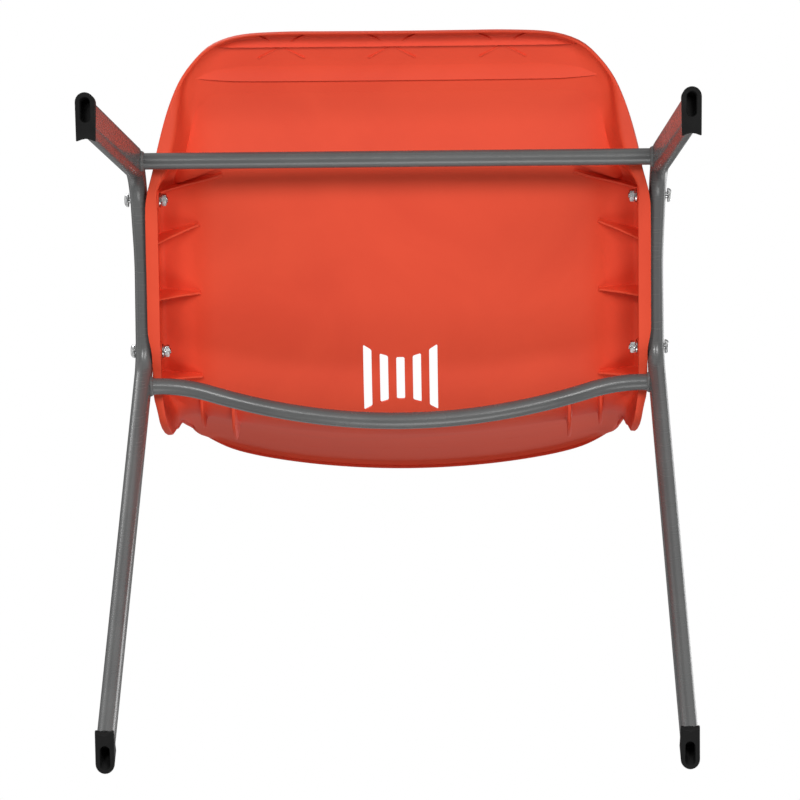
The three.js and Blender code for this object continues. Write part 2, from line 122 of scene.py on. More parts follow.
# %% Soft studio light: a room for reflections and five softboxes
def area_light(name, place, target, size, watts):
    data = bpy.data.lights.new(name, "AREA")
    data.shape = "SQUARE"
    data.size = size
    data.energy = watts
    lamp = bpy.data.objects.new(name, data)
    bpy.context.scene.collection.objects.link(lamp)
    lamp.location = place
    lamp.rotation_euler = (Vector(target) - Vector(place)).to_track_quat("-Z", "Y").to_euler()
    return lamp


def backdrop(nodes, strength):
    shade = nodes.new("ShaderNodeBackground")
    shade.inputs["Color"].default_value = (1, 1, 1, 1)
    shade.inputs["Strength"].default_value = strength
    return shade


def studio_world(ambient, below, level, above):
    world = bpy.data.worlds.new("white_studio")
    bpy.context.scene.world = world
    world.use_nodes = True
    nodes, links = world.node_tree.nodes, world.node_tree.links
    nodes.remove(nodes["Background"])
    seen, glow, mirrored = (backdrop(nodes, v) for v in (1.0, ambient, 1.0))
    ray = nodes.new("ShaderNodeLightPath")
    direction = nodes.new("ShaderNodeTexCoord")
    split = nodes.new("ShaderNodeSeparateXYZ")
    height = nodes.new("ShaderNodeMapRange")
    height.inputs["From Min"].default_value = -1.0
    height.inputs["From Max"].default_value = 1.0
    walls = nodes.new("ShaderNodeValToRGB")
    walls.color_ramp.interpolation = "EASE"
    stops = walls.color_ramp.elements
    stops.new(0.4)
    stops.new(0.6)
    for stop, (position, value) in zip(stops, (
            (0.02, below), (0.30, level), (0.66, level), (0.92, above))):
        stop.position = position
        stop.color = (value, value, value, 1)
    by_gloss = nodes.new("ShaderNodeMixShader")
    by_camera = nodes.new("ShaderNodeMixShader")
    links.new(direction.outputs["Generated"], split.inputs["Vector"])
    links.new(split.outputs["Z"], height.inputs["Value"])
    links.new(height.outputs["Result"], walls.inputs["Fac"])
    # panels: brighter and dimmer patches, so that metal has something to mirror
    panels = nodes.new("ShaderNodeTexNoise")
    panels.inputs["Scale"].default_value = 2.2
    panels.inputs["Detail"].default_value = 0.0
    contrast = nodes.new("ShaderNodeMapRange")
    contrast.inputs["From Min"].default_value = 0.42
    contrast.inputs["From Max"].default_value = 0.56
    contrast.inputs["To Min"].default_value = 0.45
    contrast.inputs["To Max"].default_value = 1.25
    links.new(direction.outputs["Generated"], panels.inputs["Vector"])
    links.new(panels.outputs["Fac"], contrast.inputs["Value"])
    links.new(contrast.outputs["Result"], mirrored.inputs["Strength"])
    links.new(walls.outputs["Color"], mirrored.inputs["Color"])
    links.new(ray.outputs["Is Glossy Ray"], by_gloss.inputs["Fac"])
    links.new(glow.outputs["Background"], by_gloss.inputs[1])
    links.new(mirrored.outputs["Background"], by_gloss.inputs[2])
    links.new(ray.outputs["Is Camera Ray"], by_camera.inputs["Fac"])
    links.new(by_gloss.outputs["Shader"], by_camera.inputs[1])
    links.new(seen.outputs["Background"], by_camera.inputs[2])
    links.new(by_camera.outputs["Shader"], nodes["World Output"].inputs["Surface"])


studio_world(0.16, 0.26, 0.95, 0.22)
area_light("below_left", (-0.85, -1.35, -1.6), (0, 0, 0.4), 0.7, 24)
area_light("below_right", (0.85, -1.35, -1.6), (0, 0, 0.4), 0.7, 26)
area_light("below_rear", (0.2, 1.5, -1.5), (0, 0.1, 0.5), 1.2, 17)
area_light("above_key", (-1.6, -1.8, 2.6), (0, 0, 0.5), 1.6, 60)
area_light("above_fill", (2.0, 0.8, 2.2), (0, 0, 0.5), 2.0, 34)
bpy.context.scene.view_settings.view_transform = "Standard"
bpy.context.scene.view_settings.look = "None"

# %% [markdown]
# ## Shared shop tools
#
# Most of the chair is swept: an outline is carried along a path. A bmesh can do
# that with one loop of edges that is extruded again and again, each new loop
# being moved to its place. The helpers below do only that, turn a finished
# bmesh into an object, and round off the corners of a drawn section.

# %% Turn a bmesh into a finished piece
def finish_piece(bm, name, material, sharp=32.0, merge=2e-6):
    if merge:
        bmesh.ops.remove_doubles(bm, verts=bm.verts, dist=merge)
    bmesh.ops.recalc_face_normals(bm, faces=bm.faces)
    mesh = bpy.data.meshes.new(name)
    bm.to_mesh(mesh)
    bm.free()
    mesh.shade_smooth()
    mesh.set_sharp_from_angle(angle=math.radians(sharp))
    piece = bpy.data.objects.new(name, mesh)
    bpy.context.scene.collection.objects.link(piece)
    mesh.materials.append(material)
    print(name, "faces", len(mesh.polygons))
    return piece


# %% Carry one closed loop of edges through a row of loops
def skin_loops(bm, loops):
    count = len(loops[0])
    made = bmesh.ops.create_circle(bm, segments=count, radius=0.01, cap_ends=False)
    ring = made["verts"]
    for vert, place in zip(ring, loops[0]):
        vert.co = place
    edges = [e for e in bm.edges if e.verts[0] in set(ring) and e.verts[1] in set(ring)]
    first = list(edges)
    for loop in loops[1:]:
        out = bmesh.ops.extrude_edge_only(bm, edges=edges)
        fresh = {g for g in out["geom"] if isinstance(g, bmesh.types.BMVert)}
        edges = [g for g in out["geom"] if isinstance(g, bmesh.types.BMEdge)
                 and g.verts[0] in fresh and g.verts[1] in fresh]
        following = []
        for vert in ring:
            following.append(next(e.other_vert(vert) for e in vert.link_edges
                                  if e.other_vert(vert) in fresh))
        for vert, place in zip(following, loop):
            vert.co = place
        ring = following
    return first, edges


# %% Round the corners of a drawn section, always with the same number of points
def round_corners(points, radii, steps):
    out = [Vector(points[0])]
    for i in range(1, len(points) - 1):
        here = Vector(points[i])
        back = Vector(points[i - 1]) - here
        ahead = Vector(points[i + 1]) - here
        reach = min(radii[i - 1], back.length * 0.48, ahead.length * 0.48)
        start = here + back.normalized() * reach
        end = here + ahead.normalized() * reach
        for k in range(steps[i - 1] + 1):
            t = k / steps[i - 1]
            out.append(start.lerp(here, t).lerp(here.lerp(end, t), t))
    out.append(Vector(points[-1]))
    return out


def clamp01(t):
    return max(0.0, min(1.0, t))


def smooth(t):
    t = clamp01(t)
    return t * t * (3 - 2 * t)


def mix(a, b, t):
    return a + (b - a) * t

# %% [markdown]
# ## Finishes
#
# Moulded polypropylene isn't one flat orange: the pigment drifts a little with
# the flow of the melt, the tool leaves a fine grain and the surface carries
# faint handling scuffs. Powder coat has a soft orange-peel ripple. Every finish
# is built from one shared group that only puts out masks and a height, so each
# material keeps its own shader and its own constants.

# %% A shared group for surface grain, cloudiness and fine scratches
def link_chain(tree, *pairs):
    for source, target in pairs:
        tree.links.new(source, target)


def surface_group():
    tree = bpy.data.node_groups.new("surface_detail", "ShaderNodeTree")
    for name, value in (("Grain Scale", 900.0), ("Cloud Scale", 9.0), ("Scratch Scale", 60.0)):
        socket = tree.interface.new_socket(name, in_out="INPUT", socket_type="NodeSocketFloat")
        socket.default_value = value
    for name in ("Grain", "Cloud", "Scratch"):
        tree.interface.new_socket(name, in_out="OUTPUT", socket_type="NodeSocketFloat")
    nodes = tree.nodes
    given = nodes.new("NodeGroupInput")
    result = nodes.new("NodeGroupOutput")
    place = nodes.new("ShaderNodeTexCoord")
    grain = nodes.new("ShaderNodeTexNoise")
    grain.inputs["Detail"].default_value = 3.0
    grain.inputs["Roughness"].default_value = 0.55
    cloud = nodes.new("ShaderNodeTexNoise")
    cloud.inputs["Detail"].default_value = 4.0
    cloud.inputs["Distortion"].default_value = 0.6
    stretch = nodes.new("ShaderNodeMapping")
    stretch.inputs["Rotation"].default_value = (0.3, 0.5, 0.9)
    stretch.inputs["Scale"].default_value = (1.0, 14.0, 1.0)
    lines = nodes.new("ShaderNodeTexNoise")
    lines.inputs["Detail"].default_value = 2.0
    thin = nodes.new("ShaderNodeValToRGB")
    thin.color_ramp.elements[0].position = 0.62
    thin.color_ramp.elements[1].position = 0.74
    link_chain(
        tree,
        (place.outputs["Object"], grain.inputs["Vector"]),
        (place.outputs["Object"], cloud.inputs["Vector"]),
        (place.outputs["Object"], stretch.inputs["Vector"]),
        (stretch.outputs["Vector"], lines.inputs["Vector"]),
        (given.outputs["Grain Scale"], grain.inputs["Scale"]),
        (given.outputs["Cloud Scale"], cloud.inputs["Scale"]),
        (given.outputs["Scratch Scale"], lines.inputs["Scale"]),
        (lines.outputs["Fac"], thin.inputs["Fac"]),
        (grain.outputs["Fac"], result.inputs["Grain"]),
        (cloud.outputs["Fac"], result.inputs["Cloud"]),
        (thin.outputs["Color"], result.inputs["Scratch"]),
    )
    return tree


SURFACE = surface_group()
print("group", SURFACE.name, [s.name for s in SURFACE.interface.items_tree])


# %% One recipe for every finish: two close colours, two close roughnesses, a bump
SCUFF_ROUGHNESS = 0.08


def finish(name, dark, light, rough_low, rough_high, metallic, grain, cloud, scratch, bump, depth,
           specular=0.5):
    mat = bpy.data.materials.new(name)
    mat.use_nodes = True
    tree = mat.node_tree
    nodes = tree.nodes
    shader = nodes["Principled BSDF"]
    shader.inputs["Metallic"].default_value = metallic
    shader.inputs["Specular IOR Level"].default_value = specular
    detail = nodes.new("ShaderNodeGroup")
    detail.node_tree = SURFACE
    detail.inputs["Grain Scale"].default_value = grain
    detail.inputs["Cloud Scale"].default_value = cloud
    detail.inputs["Scratch Scale"].default_value = scratch
    tone = nodes.new("ShaderNodeMix")
    tone.data_type = "RGBA"
    tone.inputs["A"].default_value = (*dark, 1)
    tone.inputs["B"].default_value = (*light, 1)
    spread = nodes.new("ShaderNodeMapRange")
    spread.inputs["From Min"].default_value = 0.35
    spread.inputs["From Max"].default_value = 0.65
    gloss = nodes.new("ShaderNodeMapRange")
    gloss.inputs["To Min"].default_value = rough_low
    gloss.inputs["To Max"].default_value = rough_high
    scuffed = nodes.new("ShaderNodeMath")
    scuffed.operation = "MULTIPLY_ADD"
    scuffed.inputs[1].default_value = SCUFF_ROUGHNESS
    relief = nodes.new("ShaderNodeBump")
    relief.inputs["Strength"].default_value = bump
    relief.inputs["Distance"].default_value = depth
    link_chain(
        tree,
        (detail.outputs["Cloud"], spread.inputs["Value"]),
        (spread.outputs["Result"], tone.inputs["Factor"]),
        (tone.outputs["Result"], shader.inputs["Base Color"]),
        (detail.outputs["Cloud"], gloss.inputs["Value"]),
        (detail.outputs["Scratch"], scuffed.inputs[0]),
        (gloss.outputs["Result"], scuffed.inputs[2]),
        (scuffed.outputs["Value"], shader.inputs["Roughness"]),
        (detail.outputs["Grain"], relief.inputs["Height"]),
        (relief.outputs["Normal"], shader.inputs["Normal"]),
    )
    return mat


orange_plastic = finish("orange_polypropylene", (0.76, 0.068, 0.028), (0.83, 0.082, 0.034),
                        0.54, 0.66, 0.0, 1500.0, 7.0, 40.0, 0.22, 0.0003, 0.25)
grey_coat = finish("grey_powder_coat", (0.105, 0.107, 0.107), (0.126, 0.128, 0.127),
                   0.23, 0.30, 0.0, 900.0, 12.0, 60.0, 0.10, 0.0003)
black_rubber = finish("black_moulded_cap", (0.004, 0.004, 0.004), (0.007, 0.007, 0.007),
                      0.55, 0.75, 0.0, 1400.0, 60.0, 90.0, 0.30, 0.0003, 0.15)
zinc_plate = finish("bright_zinc", (0.42, 0.43, 0.44), (0.60, 0.60, 0.59),
                    0.10, 0.22, 1.0, 2500.0, 150.0, 300.0, 0.10, 0.0002)
weld_steel = finish("painted_weld", (0.11, 0.112, 0.112), (0.15, 0.15, 0.148),
                    0.40, 0.55, 0.0, 1800.0, 90.0, 200.0, 0.5, 0.0005)

# %% [markdown]
# ## The moulded shell
#
# The shell is one sheet about 4 mm thick. Its shape is easiest to think of flat:
# an outline with rounded corners, a centre line that says how the sheet bends
# from front edge to the top of the back, and a rise across it that dishes the
# seat and wraps the back. Round its edge the sheet rolls over into a skirt that
# ends, beside the rails, in a stiffening flange. Subdividing a cage would blur
# those edges, so the sheet is skinned from closed loops instead: from the
# middle of the upper face out to the rim, round the flange, and back to the
# middle of the lower face.

# %% A smooth curve through a few points, measured by its own length
class SmoothCurve:
    def __init__(self, points, per_span=40):
        pts = [Vector(p) for p in points]
        pts = [pts[0] * 2 - pts[1]] + pts + [pts[-1] * 2 - pts[-2]]
        self.dense = []
        for a, b, c, d in zip(pts, pts[1:], pts[2:], pts[3:]):
            gaps = [max(1e-6, (q - p).length ** 0.5) for p, q in ((a, b), (b, c), (c, d))]
            into = ((b - a) / gaps[0] - (c - a) / (gaps[0] + gaps[1]) + (c - b) / gaps[1]) * gaps[1]
            away = ((c - b) / gaps[1] - (d - b) / (gaps[1] + gaps[2]) + (d - c) / gaps[2]) * gaps[1]
            for k in range(per_span):
                t = k / per_span
                self.dense.append(b + into * t + (c * 3 - b * 3 - into * 2 - away) * t ** 2
                                  + (b * 2 - c * 2 + into + away) * t ** 3)
        self.dense.append(pts[-2])
        self.marks = [0.0]
        for a, b in zip(self.dense, self.dense[1:]):
            self.marks.append(self.marks[-1] + (b - a).length)
        self.length = self.marks[-1]

    def at(self, s):
        s = max(0.0, min(self.length, s))
        low, high = 0, len(self.marks) - 1
        while high - low > 1:
            mid = (low + high) // 2
            if self.marks[mid] <= s:
                low = mid
            else:
                high = mid
        span = self.marks[high] - self.marks[low]
        t = (s - self.marks[low]) / span if span else 0.0
        return self.dense[low].lerp(self.dense[high], t)

    def along(self, s, step=1.5):
        return (self.at(s + step) - self.at(s - step)).normalized()


centre_line = SmoothCurve([
    (-249, 437), (-238, 446), (-215, 451.5), (-170, 451), (-100, 445), (-20, 439), (50, 437),
    (95, 444), (126, 462), (146, 492), (160, 530), (181, 590), (210, 665), (241, 735), (270, 796)])
LENGTH = centre_line.length
SKIRT_FACE = 223.7
rim = SmoothCurve([
    (0, 0), (60, 0), (99, 0.4), (134, 4), (154, 11), (170, 20), (183, 33), (196, 51), (206, 73),
    (214.5, 100), (220.5, 126), (223.3, 148), (SKIRT_FACE, 170), (SKIRT_FACE, 240),
    (SKIRT_FACE, 315), (223, 345), (219, 374), (213, 400), (208.5, 440), (207, 500), (207, 580),
    (207, 650), (204, LENGTH - 66), (193, LENGTH - 36), (174, LENGTH - 14), (146, LENGTH - 3),
    (110, LENGTH), (50, LENGTH), (0, LENGTH)])
print("sheet length", round(LENGTH, 1), "mm, half rim", round(rim.length, 1), "mm")


# %% From the flat sheet to the chair: lengths here and below are in millimetres
SHEET = 4


def sheet_frame(s):
    inside = max(0.0, min(LENGTH, s))
    along = centre_line.along(inside)
    place = centre_line.at(inside) + along * (s - inside)
    face = Vector((0, -along.y, along.x))
    turn = smooth((s - 345) / 95)
    under = Vector((0, 0, -1)).lerp(-face, turn).normalized()
    return Vector((0, place.x, place.y)), face, under


def cross_rise(x, s):
    a = abs(x)
    to_back = smooth((s - 300) / 160)
    dish = mix(0.6e-4, 2.2e-4, smooth((s - 120) / 180))
    wrap = mix(dish, 6.3e-4, to_back) * a * a
    bolster = 8.5 * smooth((a - 168) / 40) * smooth((s - 30) / 90) * (1 - to_back)
    hollow = 3.5 * math.exp(-((a - 88) / 62) ** 2 - ((s - 255) / 62) ** 2)
    return wrap + bolster - hollow


def sheet_point(x, s, drop):
    place, face, under = sheet_frame(s)
    return (place + face * cross_rise(x, s) + under * drop + Vector((x, 0, 0))) * MM


# how deep the skirt reaches at places along the sheet, deepest behind the rails
SKIRT_TABLE = [(0, 17), (60, 17), (120, 13), (372, 13), (392, 21), (406, 26.5), (416, 26), (426, 22.6),
               (438, 19), (452, 17.3), (470, 16.8), (520, 16.8), (560, 15.6), (600, 13.6),
               (640, 10.6), (680, 7.8), (705, 7.4), (722, 8.6), (742, 10.5), (760, 10.5)]


def follow(table, s):
    i = max(k for k in range(len(table) - 1) if table[k][0] <= max(s, 0.0))
    near = [table[max(0, min(len(table) - 1, i + k))] for k in (-1, 0, 1, 2)]
    span = near[2][0] - near[1][0]
    t = clamp01((s - near[1][0]) / span)
    into = (near[2][1] - near[0][1]) / (near[2][0] - near[0][0]) * span
    away = (near[3][1] - near[1][1]) / (near[3][0] - near[1][0]) * span
    rise = near[2][1] - near[1][1]
    return near[1][1] + into * t + (3 * rise - 2 * into - away) * t ** 2 \
        + (into + away - 2 * rise) * t ** 3


def skirt_depth(s):
    beside = smooth((s - 40) / 95) * (1 - smooth((s - 364) / 52))
    edge = sheet_point(SKIRT_FACE, max(0.0, min(400.0, s)), 0) / MM
    over_bar = 8 * smooth((edge.y - 36) / 22)
    rail_level = 402.5 - (edge.y + 95) * 0.0757 + over_bar
    return mix(follow(SKIRT_TABLE, s), edge.z - rail_level, beside)


RIM_WALL = 2.2


def flange_amount(s):
    return smooth((s - 120) / 45) * (1 - smooth((s - 380) / 22))


def rim_tightness(s):
    return max(flange_amount(s), 1 - smooth((s - 6) / 30), smooth((s - LENGTH + 60) / 30))


def rim_section(s):
    amount = flange_amount(s)
    beside_leg = smooth((s - 262) / 20) * (1 - smooth((s - 345) / 20))
    out = mix(0.2, 228.5 - SKIRT_FACE, amount * (1 - smooth((s - 272) / 34)))
    out = max(out, 1.5 * beside_leg)
    tight = rim_tightness(s)
    inn = mix(0.2, SKIRT_FACE - 217 - 4, amount)
    deep = skirt_depth(s)
    wall = mix(RIM_WALL, 4, amount)
    roll = smooth((s - 38) / 66) * (1 - smooth((s - 118) / 36))
    corners = [
        (34, 0), (mix(16, 7, tight), mix(1.5, 0, tight)), (0, mix(10, 7, tight)),
        (0, deep - 2.6), (-out, deep - 2.6), (-out, deep),
        (mix(wall + inn, 5, roll), deep),
        (mix(wall + inn, 12.5, roll), mix(deep - 2.6, deep - 0.8, roll)),
        (mix(wall, 16, roll), mix(deep - 2.6, deep * 0.76, roll)),
        (mix(mix(4.2, wall, tight), 21, roll), mix(mix(10.6, 7.4, tight), deep * 0.36 + 3, roll)),
        (mix(mix(16, 8, tight), 27.5, roll), mix(mix(5.2, 4.1, tight), 4.6, roll)), (34, 4)]
    radii = [9, 9, 1.0, 0.9, 0.9, mix(0.9, 2, roll), mix(0.9, 4, roll), mix(1.0, 5, roll), 7, 7]
    return round_corners(corners, radii, [5, 5, 2, 2, 2, 2, 3, 3, 5, 5])


# %% Loops round the sheet, from the middle of one face to the middle of the other
STATIONS = 150
PAN_STEPS = [0.0, 0.22, 0.44, 0.64, 0.82, 1.0]
PAN_INSETS = [56, 50, 44, 39, 34]


def rim_stations():
    half = []
    for i in range(STATIONS + 1):
        d = rim.length * i / STATIONS
        here = rim.at(d)
        along = rim.along(d, 2.0)
        inward = Vector((-along.y, along.x))
        if i in (0, STATIONS):
            inward = Vector((0, 1 if i == 0 else -1))
        half.append((here, inward.normalized()))
    left = [(Vector((-p.x, p.y)), Vector((-n.x, n.y))) for p, n in reversed(half[1:-1])]
    return half + left


def shell_loops():
    stations = rim_stations()
    sections = [rim_section(p.y) for p, n in stations]
    loops = []
    for side in (0, 1):
        face_loops = []
        for f in PAN_STEPS[:-1]:
            loop = []
            for p, n in stations:
                spine = max(112, min(LENGTH - 112, p.y))
                edge = p + n * 60
                loop.append(sheet_point(edge.x * f, mix(spine, edge.y, f), SHEET * side))
            face_loops.append(loop)
        for inset in [60] + PAN_INSETS:
            face_loops.append([sheet_point(p.x + n.x * inset, p.y + n.y * inset, SHEET * side)
                               for p, n in stations])
        if side == 0:
            loops += face_loops
            for k in range(len(sections[0])):
                loops.append([sheet_point(p.x + n.x * sec[k].x, p.y + n.y * sec[k].x, sec[k].y)
                              for (p, n), sec in zip(stations, sections)])
        else:
            loops += reversed(face_loops)
    return loops


def make_sheet():
    bm = bmesh.new()
    skin_loops(bm, shell_loops())
    bmesh.ops.remove_doubles(bm, verts=bm.verts, dist=2e-5)
    bmesh.ops.dissolve_degenerate(bm, dist=1e-6, edges=bm.edges)
    return bm


shell_bm = make_sheet()
print("sheet faces", len(shell_bm.faces), "open edges", sum(e.is_boundary for e in shell_bm.edges))

# %% [markdown]
# ### Ventilation slots
#
# Five slots let the seat breathe. The outer ones are longer and their ends are
# cut at a slant, so the group has an hourglass shape. Each slot is cut with
# four upright planes through the faces round it, the cut-out faces are removed,
# and the two open loops that are left are bridged to make the slot's wall.

# %% Cut the slots
SLOT_PITCH = 15.1
SLOT_WIDE = 7.6
SLOT_MIDDLE_Y = 80.5


def slot_reach(x):
    return 21.5 + 0.011 * x * x


def slot_corners(x, chamfer=1.0):
    left, right = x - SLOT_WIDE / 2, x + SLOT_WIDE / 2
    drawn = [Vector((px, SLOT_MIDDLE_Y + sign * slot_reach(px), 0)) * MM
             for px, sign in ((left, -1), (right, -1), (right, 1), (left, 1))]
    out = []
    for i, here in enumerate(drawn):
        for other in (drawn[i - 1], drawn[(i + 1) % 4]):
            out.append(here + (other - here).normalized() * chamfer * MM)
    return out


def cut_slot(bm, x):
    corners = slot_corners(x)
    reach = slot_reach(abs(x) + SLOT_WIDE / 2) + 2
    near = []
    for f in bm.faces:
        xs = [v.co.x / MM for v in f.verts]
        ys = [v.co.y / MM for v in f.verts]
        if min(xs) < x + SLOT_WIDE / 2 and max(xs) > x - SLOT_WIDE / 2 \
                and min(ys) < SLOT_MIDDLE_Y + reach and max(ys) > SLOT_MIDDLE_Y - reach \
                and 0.40 < f.calc_center_median().z < 0.47:
            near.append(f)
    for a, b in zip(corners, corners[1:] + corners[:1]):
        side = (b - a).cross(Vector((0, 0, 1))).normalized()
        patch = set(near)
        geom = list(patch | {e for f in patch for e in f.edges} | {v for f in patch for v in f.verts})
        out = bmesh.ops.bisect_plane(bm, geom=geom, dist=1e-7, plane_co=a, plane_no=side)
        near = [g for g in out["geom"] if isinstance(g, bmesh.types.BMFace) and g.is_valid]
    inside = []
    for f in near:
        c = f.calc_center_median()
        if all((c - a).dot((b - a).cross(Vector((0, 0, 1)))) < 0
               for a, b in zip(corners, corners[1:] + corners[:1])):
            inside.append(f)
    before = {e for e in bm.edges if e.is_boundary}
    bmesh.ops.delete(bm, geom=inside, context="FACES")
    rims = [e for e in bm.edges if e.is_boundary and e not in before]
    bmesh.ops.bridge_loops(bm, edges=rims)
    return len(inside)


for step in range(-2, 3):
    print("slot", step, "removed", cut_slot(shell_bm, step * SLOT_PITCH))
print("open edges left", sum(e.is_boundary for e in shell_bm.edges))

# %% [markdown]
# ### Ribs and folds under the seat
#
# Without ribs a 4 mm sheet would flex like a tray. Each rib is swept along a
# straight line in plan: a thin section with draft, a rounded tip and a small
# fillet where it grows out of the sheet. Three wedge-shaped folds across the
# front stiffen the edge that people press on, and two fins on each side follow
# the bend up the back. They could be pushed out of the sheet itself, but its
# loops run round the outline and would blur a straight fold, so they are swept
# too and sunk into the sheet. Near the rim the sheet rolls over, so there the
# tops of ribs and folds are sunk deeper, or they would show on the seat's edge.

# %% Where the underside is over a place in plan, and how far a rib may reach into the sheet
def sheet_length_at(x, y):
    low, high = 0.0, 440.0
    for _ in range(24):
        mid = (low + high) / 2
        if sheet_point(x, mid, 0).y < y * MM:
            low = mid
        else:
            high = mid
    return low


def underside_z(x, y):
    return sheet_point(x, sheet_length_at(x, y), 0).z / MM - SHEET


RIM_MARKS = [rim.at(rim.length * i / 400) for i in range(401)]


def room_above(x, y):
    # the height over the underside at which a rib's top lies inside the sheet
    s = sheet_length_at(x, y)
    here = Vector((abs(x), s))
    u = min((here - mark).length for mark in RIM_MARKS)
    if y * MM < sheet_point(x, 0, 0).y:
        u = 0.0
    opened = 2 + 1.3 * clamp01((34 - u) / 18) + 0.49 * max(0, 16 - u)
    closed = 2 + 0.93 * max(0, 8 - u)
    return SHEET - mix(opened, closed, rim_tightness(s))


def close_ends(bm, first, last):
    bmesh.ops.contextual_create(bm, geom=first)
    bmesh.ops.contextual_create(bm, geom=last)


# %% One rib, one fin and one fold
def add_rib(bm, x0, y0, x1, y1, depth0, depth1, thick=2.4, foot=1.3):
    start, end = Vector((x0, y0, 0)), Vector((x1, y1, 0))
    side = (end - start).cross(Vector((0, 0, 1))).normalized()
    steps = max(6, int((end - start).length / 6))
    loops = []
    for i in range(steps + 1):
        t = i / steps
        at = start.lerp(end, t)
        z = underside_z(at.x, at.y)
        deep = mix(depth0, depth1, t)
        half = thick / 2
        fillet = min(foot, deep * 0.4)
        top = room_above(at.x, at.y)
        step = min(0, top - 0.2)
        low = min(-fillet, step - 0.3)
        deep = max(deep, 0.6 - low)
        drawn = [(half + foot, top), (half + foot, step), (half, low), (half * 0.75, -deep),
                 (-half * 0.75, -deep), (-half, low), (-half - foot, step), (-half - foot, top)]
        section = round_corners(drawn, [0.2, 0.9, 0.5, 0.5, 0.9, 0.2], [1, 3, 2, 2, 3, 1])
        loops.append([(Vector((at.x, at.y, z + v)) + side * u) * MM for u, v in section])
    close_ends(bm, *skin_loops(bm, loops))


def add_fin(bm, x, start, end, depth):
    steps = 28
    loops = []
    for i in range(steps + 1):
        t = i / steps
        deep = 1.6 + depth * smooth(t * 4) * (1 - smooth((t - 0.55) / 0.45))
        drawn = [(2.8, 2.0), (2.8, 4.0), (1.9, 5.2), (1.4, 4 + deep),
                 (-1.4, 4 + deep), (-1.9, 5.2), (-2.8, 4.0), (-2.8, 2.0)]
        section = round_corners(drawn, [0.2, 0.9, 0.6, 0.6, 0.9, 0.2], [1, 3, 2, 2, 3, 1])
        loops.append([sheet_point(x + u, mix(start, end, t), v) for u, v in section])
    close_ends(bm, *skin_loops(bm, loops))


def add_fold(bm, half_width, front_y, back_y, depth):
    steps = 48
    loops = []
    for i in range(steps + 1):
        x = mix(-half_width, half_width, i / steps)
        fade = smooth((half_width - abs(x)) / 10)
        front, back = front_y(abs(x)), back_y(abs(x))
        deep = depth * fade
        lower = []
        for k in range(9):
            y = mix(front, back, k / 8)
            z = underside_z(x, y)
            lower.append((y, z + min(0.25 - deep * smooth(k / 8 * 0.5) * 2, room_above(x, y) - 0.3)))
        z_back = underside_z(x, back)
        top = room_above(x, back)
        corner = [(back + 0.1, z_back + min(0.7 - deep, top - 0.3)),
                  (back + 0.5, z_back + min(0.4 - deep * 0.5, top - 0.3)),
                  (back + 1.4, z_back + min(0.2, top - 0.2)), (back + 1.4, z_back + top)]
        upper = []
        for k in range(9):
            y = mix(back, front, k / 8)
            upper.append((y, underside_z(x, y) + room_above(x, y)))
        loops.append([Vector((x, y, z)) * MM for y, z in lower + corner + upper])
    close_ends(bm, *skin_loops(bm, loops))


def inside_rim(a, wanted):
    low, high = 0.0, rim.length * 0.4
    for _ in range(20):
        mid = (low + high) / 2
        if rim.at(mid).x < a:
            low = mid
        else:
            high = mid
    return max(wanted, sheet_point(a, rim.at(low).y + 3, 0).y / MM)


def fold_back(a, wanted):
    return max(wanted, inside_rim(a, wanted) + 1.0)


# %% Crossed ribs in front, ribs and fins at the sides, folds across the front
CROSSED_RIBS = (-104, -4, 96)
CROSS_REACH = 21
for x in CROSSED_RIBS:
    add_rib(shell_bm, x - CROSS_REACH, -243, x + CROSS_REACH, -220, 2.6, 1.8, 1.4, 0.6)
    add_rib(shell_bm, x - CROSS_REACH, -220, x + CROSS_REACH, -243, 1.8, 2.6, 1.4, 0.6)
for side in (-1, 1):
    add_rib(shell_bm, side * 160, -113, side * 219, -96, 2, 12)
    add_rib(shell_bm, side * 182, -66, side * 221, -54, 3, 34)
    add_rib(shell_bm, side * 182, -2, side * 221, -2, 3, 36)
    add_rib(shell_bm, side * 182, 79, side * 221, 77, 3, 34)
    add_fin(shell_bm, side * 184, 362, 470, 11.5)
    add_fin(shell_bm, side * 155, 366, 500, 16)
add_fold(shell_bm, 163, lambda a: inside_rim(a, -243), lambda a: fold_back(a, -233), 6.0)
add_fold(shell_bm, 196, lambda a: inside_rim(a, -217),
         lambda a: fold_back(a, -200 - 0.0010 * max(0, a - 130) ** 2), 3.4)
add_fold(shell_bm, 205, lambda a: inside_rim(a, -198),
         lambda a: -127 + 0.45 * max(0, a - 150), 8.0)
print("shell with ribs", len(shell_bm.faces), "faces")

# %% [markdown]
# ### Screw bosses
#
# Four round pads thicken the skirt where the washers press. Each is a short
# cone with its rim bevelled, sunk 1.5 mm into the skirt.

# %% Bosses
SCREW_SPOTS = {"front": (-95, 423.2), "rear": (44, 410.5)}
BOSS_FACE = 216.5


def along_x(place):
    return Matrix.Translation(place) @ Matrix.Rotation(math.pi / 2, 4, "Y")


def add_boss(bm, side, y, z):
    deep = SKIRT_FACE - 1.5 - BOSS_FACE
    middle = Vector((side * (BOSS_FACE + deep / 2), y, z)) * MM
    made = bmesh.ops.create_cone(bm, segments=40, cap_ends=True, radius1=9 * MM, radius2=9 * MM,
                                 depth=deep * MM, matrix=along_x(middle))
    rims = {e for v in made["verts"] for e in v.link_edges
            if abs(abs(v.co.x) - BOSS_FACE * MM) < 1e-5 and len(e.link_faces[0].verts) > 4
            or abs(abs(v.co.x) - BOSS_FACE * MM) < 1e-5 and len(e.link_faces[1].verts) > 4}
    bmesh.ops.bevel(bm, geom=list(rims), offset=0.6 * MM, segments=3, profile=0.5,
                    affect="EDGES", material=-1)


for y, z in SCREW_SPOTS.values():
    for side in (-1, 1):
        add_boss(shell_bm, side, y, z)

